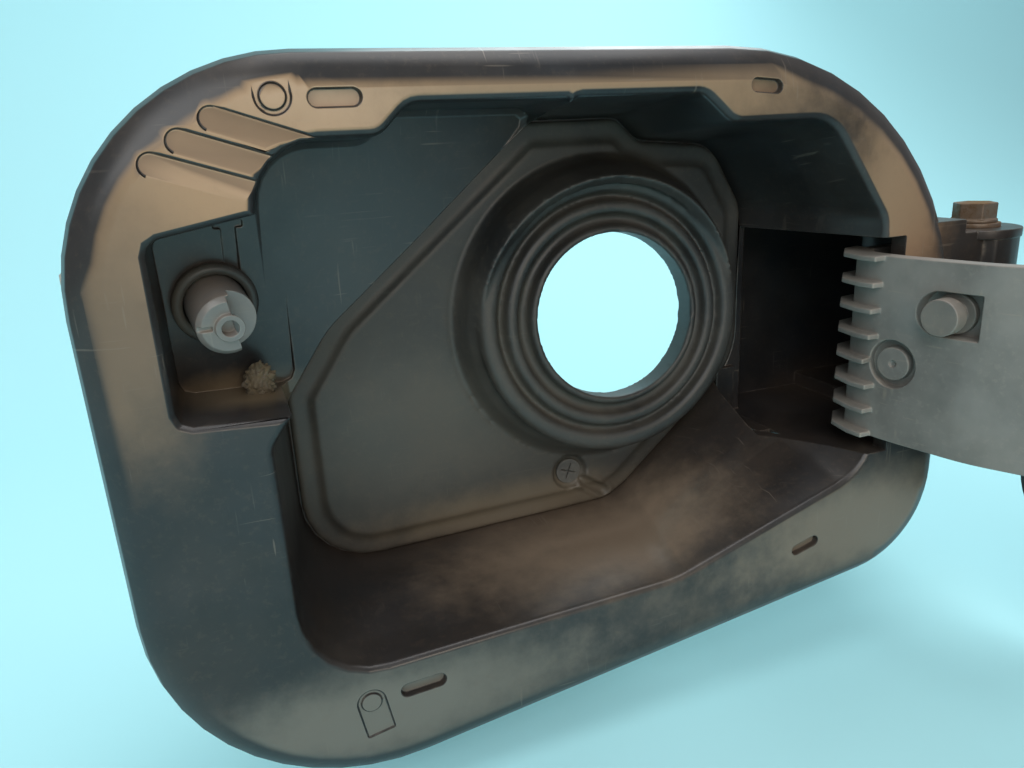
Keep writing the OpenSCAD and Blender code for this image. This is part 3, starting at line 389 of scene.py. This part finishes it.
finishes = dict(
    housing=wornFinish("satinBlackPlastic", base=(0.013, 0.015, 0.018), dust=(0.15, 0.105, 0.07),
                       dustAmount=0.15, cloudScale=17.0, upward=0.10, corners=0.16, rub=(0.23, 0.19, 0.15),
                       rubAmount=0.45, scratch=0.35, roughness=0.28, dustyRoughness=0.5, depth=0.00002,
                       patches=housingDirtAndSheen),
    boot=wornFinish("softBlackRubber", base=(0.020, 0.021, 0.022), dust=(0.13, 0.11, 0.08), dustAmount=0.22,
                    cloudScale=22.0, upward=0.04, corners=0.22, rub=(0.14, 0.125, 0.10), rubAmount=0.4,
                    scratch=0.15, roughness=0.42, dustyRoughness=0.75, grainScale=1500.0, depth=0.00004,
                    patches=bootDirt),
    valve=wornFinish("greyedRubber", base=(0.05, 0.05, 0.048), dust=(0.16, 0.15, 0.13), dustAmount=0.6,
                     cloudScale=160.0, corners=0.6, roughness=0.75, dustyRoughness=0.95, depth=0.00006),
    arm=wornFinish("scuffedGreyPlastic", base=(0.185, 0.175, 0.162), dust=(0.29, 0.27, 0.235),
                   dustAmount=0.42, cloudScale=30.0, upward=0.35, corners=0.35, rub=(0.34, 0.29, 0.23),
                   rubAmount=0.7, rubReach=0.001, scratch=0.5, roughness=0.42, dustyRoughness=0.66,
                   depth=0.00003),
    peg=wornFinish("smoothGreyPlastic", base=(0.145, 0.14, 0.13), dust=(0.29, 0.24, 0.19), dustAmount=0.35,
                   cloudScale=60.0, rub=(0.36, 0.30, 0.25), rubAmount=0.7, roughness=0.34,
                   dustyRoughness=0.55),
    dustySteel=wornFinish("dustySteel", base=(0.16, 0.135, 0.115), dust=(0.20, 0.115, 0.05), dustAmount=0.55,
                          cloudScale=110.0, upward=0.45, corners=0.8, rub=(0.42, 0.38, 0.34), rubAmount=0.6,
                          rubReach=0.0005, roughness=0.42, dustyRoughness=0.9, metallic=0.75, depth=0.00005),
    brightSteel=wornFinish("brightSteel", base=(0.55, 0.54, 0.52), dust=(0.25, 0.2, 0.15), dustAmount=0.2,
                           cloudScale=70.0, corners=0.4, rub=(0.7, 0.69, 0.67), roughness=0.28,
                           dustyRoughness=0.6, metallic=0.95, depth=0.00001),
    flap=wornFinish("primedBlackPlastic", base=(0.022, 0.023, 0.025), dust=(0.16, 0.13, 0.10),
                    dustAmount=0.16, cloudScale=14.0, upward=0.12, corners=0.25, rub=(0.2, 0.18, 0.16),
                    rubAmount=0.4, scratch=0.3, roughness=0.3, dustyRoughness=0.55),
    screw=wornFinish("blackenedSteel", base=(0.10, 0.10, 0.105), dust=(0.2, 0.15, 0.1), dustAmount=0.3,
                     cloudScale=90.0, rub=(0.45, 0.43, 0.4), rubAmount=0.8, rubReach=0.0004, roughness=0.36,
                     dustyRoughness=0.7, metallic=0.9),
    latch=wornFinish("glassFilledPlastic", base=(0.028, 0.029, 0.031), dust=(0.15, 0.125, 0.1),
                     dustAmount=0.3, cloudScale=40.0, upward=0.2, corners=0.4, rub=(0.2, 0.19, 0.18),
                     roughness=0.5, dustyRoughness=0.75, grainScale=1300.0, depth=0.00004),
    slide=wornFinish("palePlastic", base=(0.56, 0.52, 0.44), dust=(0.30, 0.24, 0.17), dustAmount=0.3,
                     cloudScale=70.0, rub=(0.66, 0.63, 0.56), roughness=0.45, dustyRoughness=0.7),
    plunger=wornFinish("milkyGreyPlastic", base=(0.21, 0.205, 0.20), dust=(0.36, 0.29, 0.23), dustAmount=0.35,
                       cloudScale=95.0, upward=0.3, corners=0.3, rub=(0.55, 0.50, 0.44), rubAmount=0.6,
                       rubReach=0.0006, scratch=0.2, roughness=0.30, dustyRoughness=0.5,
                       Transmission_Weight=0.35, IOR=1.49, Coat_Weight=0.2),
)
finishOf = dict(
    housing="housing", filler_boot="boot", drain_valve="valve", hinge_arm="arm", tether_peg="peg",
    hinge_bolt="dustySteel", hinge_washer="dustySteel", hinge_nut="dustySteel", pivot_sleeve="brightSteel",
    detent_spring="brightSteel", flap="flap", flap_screws="screw", flap_catch="latch", flap_buffers="boot",
    lock_plunger="plunger", plunger_gaiter="boot", latch_case="latch", latch_cover="latch", latch_seal="boot",
    plunger_spring="brightSteel", lock_slide="slide", lock_motor="brightSteel", latch_socket="latch",
    latch_screws="screw")
print("finishes mixed")

# studio: painted floor, a large softbox in front and a small warm one under it, one on top and a glow
# from behind
paint = bpy.data.materials.new("studioPaper")
paint.use_nodes = True
paint.node_tree.nodes["Principled BSDF"].inputs["Base Color"].default_value = (*stageValues["colour"], 1)
paint.node_tree.nodes["Principled BSDF"].inputs["Roughness"].default_value = stageValues["roughness"]
wearing(floor, paint)

plainLight = (1, 1, 1)
warmLight = (1.0, 0.86, 0.70)
lampValues = [
    # name, place, size, watts, aimed at, colour
    ("frontSoftbox", (-0.55, -0.95, 0.75), 0.8, 6.5, (0, 0, 0), plainLight),
    ("warmSoftbox", (-0.02, -0.85, 0.16), 0.28, 1.7, (-0.08, 0, 0.04), warmLight),
    ("topSoftbox", (0.25, -0.05, 1.1), 0.9, 8.0, (0.05, 0, 0), plainLight),
    ("backGlow", (0.35, 0.65, 0.55), 0.5, 2.6, (0, 0.1, 0), plainLight),
]
for lampName, place, size, watts, target, colour in lampValues:
    bpy.ops.object.light_add(type="AREA", location=place)
    lamp = bpy.context.object
    lamp.name = lampName
    lamp.data.shape = "SQUARE"
    lamp.data.size = size
    lamp.data.energy = watts
    lamp.data.color = colour
    lamp.rotation_euler = (Vector(target) - Vector(place)).to_track_quat("-Z", "Y").to_euler()
airValues = dict(colour=(0.93, 0.95, 1.0), strength=0.32)
world = bpy.data.worlds.new("studioAir")
bpy.context.scene.world = world
world.use_nodes = True
world.node_tree.nodes["Background"].inputs["Color"].default_value = (*airValues["colour"], 1)
world.node_tree.nodes["Background"].inputs["Strength"].default_value = airValues["strength"]
bpy.context.scene.view_settings.view_transform = "Standard"
print("studio lit")

# rigid pieces dressed from their solids: [edge width in mm, segments]
edgeWidths = dict(
    housing=(0.35, 2), drain_valve=(0.25, 2), hinge_arm=(0.35, 3), tether_peg=(0.35, 3), hinge_bolt=(0.35, 3),
    hinge_washer=(0.2, 2), hinge_nut=(0.3, 2), pivot_sleeve=(0.2, 2), detent_spring=(0.12, 2), flap=(0.4, 3),
    flap_screws=(0.3, 2), flap_catch=(0.4, 2), flap_buffers=(0.5, 3), lock_plunger=(0.2, 3),
    plunger_gaiter=(0.3, 2), latch_case=(0.25, 2), latch_cover=(0.3, 2), latch_seal=(0.3, 2),
    lock_slide=(0.3, 2), lock_motor=(0.4, 2), latch_socket=(0.3, 2), latch_screws=(0.25, 2))
# two webs that close the corner between the pocket's wall and the hinge box: [low corner, high corner]
websAtHingeBox = [((0.0440, 0.0148, -0.0425), (0.0508, 0.0184, -0.0255)),
                  ((0.0462, -0.0040, -0.0428), (0.0510, 0.0184, -0.0411))]


def addWebs(piece):
    for low, high in websAtHingeBox:
        low, high = Vector(low), Vector(high)
        bpy.ops.object.select_all(action="DESELECT")
        bpy.ops.mesh.primitive_cube_add(size=1)
        web = bpy.context.object
        for vertex in web.data.vertices:
            vertex.co = [low[i] if vertex.co[i] < 0 else high[i] for i in range(3)]
        pickOnly(piece)
        web.select_set(True)
        bpy.ops.object.join()


# the way that the plunger goes in, its stroke, and the room left at the end of it
plungerValues = dict(axis=(-0.15302, 0.9661, 0.20791), stroke=0.008, endBand=0.0006, endRoom=0.0002)
plungerAxis = Vector(plungerValues["axis"])


def easeStop(piece):
    # the plunger's far end stands just off the cover at the end of its stroke
    farthest = max(vertex.co.dot(plungerAxis) for vertex in piece.data.vertices)
    for vertex in piece.data.vertices:
        if vertex.co.dot(plungerAxis) > farthest - plungerValues["endBand"]:
            vertex.co -= plungerAxis * plungerValues["endRoom"]


for nodeName, (width, sides) in edgeWidths.items():
    words = nodeName.split("_")
    piece = copyOfNode(nodeName, words[0] + "".join(w.capitalize() for w in words[1:]) + "Dressed")
    if nodeName == "housing":
        addWebs(piece)
    softenEdges(piece, width / 1000, sides)
    if nodeName == "lock_plunger":
        easeStop(piece)
    settle(piece, nodeName, finishes[finishOf[nodeName]])
    print("dressed", nodeName, len(piece.data.polygons))

# the coil, copied from its node with its faces shaded smooth
springValues = dict(spare=0.0003, smoothTo=50)
spring = copyOfNode("plunger_spring", "plungerSpringWound")
pickOnly(spring)
bpy.ops.object.shade_smooth_by_angle(angle=math.radians(springValues["smoothTo"]))
settle(spring, "plunger_spring", finishes[finishOf["plunger_spring"]])
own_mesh(spring)
print("spring wound")

# rubber boot: remeshed as one soft skin, its fillets eased away from the collar
bootValues = dict(voxel=0.0006, keep=0.55, collarReach=0.033, farReach=0.040, easing=14, leastEasing=0.05)
boot = copyOfNode("filler_boot", "fillerBootMoulded")
addAndApply(boot, "REMESH", mode="VOXEL", voxel_size=bootValues["voxel"])
easing = boot.vertex_groups.new(name="easing")
for vertex in boot.data.vertices:
    reach = math.hypot(vertex.co.x, vertex.co.z)
    share = (reach - bootValues["collarReach"]) / (bootValues["farReach"] - bootValues["collarReach"])
    easing.add([vertex.index], min(max(share, bootValues["leastEasing"]), 1.0), "REPLACE")
addAndApply(boot, "SMOOTH", factor=0.5, iterations=bootValues["easing"], vertex_group="easing")
# the gutter that leads water from the drain, with a raised lip round it; lip sizes are in gutter radii
gutterValues = dict(start=(-0.0045, -0.0545), end=(0.0025, -0.0595), radius=0.0017, depth=0.0013,
                    lipHeight=0.0005, lipAt=1.45, lipHalfWidth=0.75, deepestY=0.0165, facing=-0.4)
gutterStart = Vector(gutterValues["start"])
run = Vector(gutterValues["end"]) - gutterStart
for vertex in boot.data.vertices:
    if vertex.normal.y > gutterValues["facing"] or vertex.co.y > gutterValues["deepestY"]:
        continue
    spot = Vector((vertex.co.x, vertex.co.z))
    share = min(max((spot - gutterStart).dot(run) / run.length_squared, 0), 1)
    away = (spot - gutterStart - run * share).length / gutterValues["radius"]
    if away >= gutterValues["lipAt"] + gutterValues["lipHalfWidth"]:
        continue  # a vertex that is written makes the next look at a normal slow
    vertex.co.y += gutterValues["depth"] * max(0, 1 - away ** 3)
    lip = max(0, 1 - abs(away - gutterValues["lipAt"]) / gutterValues["lipHalfWidth"])
    vertex.co.y -= gutterValues["lipHeight"] * lip
addAndApply(boot, "DECIMATE", decimate_type="COLLAPSE", ratio=bootValues["keep"])
pickOnly(boot)
bpy.ops.object.shade_smooth()
settle(boot, "filler_boot", finishes["boot"])
print("boot moulded", len(boot.data.polygons))

# crumpled scrap of foam caught on the recess's ledge
scrapValues = dict(place=(-0.0962, -0.0112, -0.0012), size=(0.0034, 0.0026, 0.0046), crumple=0.22,
                   shift=(3.1, 0.4, 1.7), foldScale=2.3, creaseScale=5.9, foldGain=2.2,
                   crumbScale=9.0, crumbHeight=0.05)
bpy.ops.object.select_all(action="DESELECT")
bpy.ops.mesh.primitive_ico_sphere_add(subdivisions=5, radius=1)
scrap = bpy.context.object
scrap.name = "foamScrap"
for vertex in scrap.data.vertices:
    out = vertex.co.normalized()
    fold = abs(noise.noise(out * scrapValues["foldScale"] + Vector(scrapValues["shift"])))
    fold += 0.5 * abs(noise.noise(out * scrapValues["creaseScale"]))
    crumb = scrapValues["crumbHeight"] * noise.noise(out * scrapValues["crumbScale"])
    vertex.co = out * (1 - scrapValues["crumple"] * (1 - scrapValues["foldGain"] * fold) + crumb)
    vertex.co = [vertex.co[i] * scrapValues["size"][i] + scrapValues["place"][i] for i in range(3)]
pickOnly(scrap)
bpy.ops.object.shade_smooth()
wearing(scrap, wornFinish("crumbledFoam", base=(0.075, 0.06, 0.038), dust=(0.17, 0.135, 0.08),
                          dustAmount=0.5, cloudScale=400.0, corners=0.2, roughness=0.9, dustyRoughness=1.0,
                          grainScale=3000.0, depth=0.0003, tone=0.5))
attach(scrap, "base")
print("scrap crumpled")
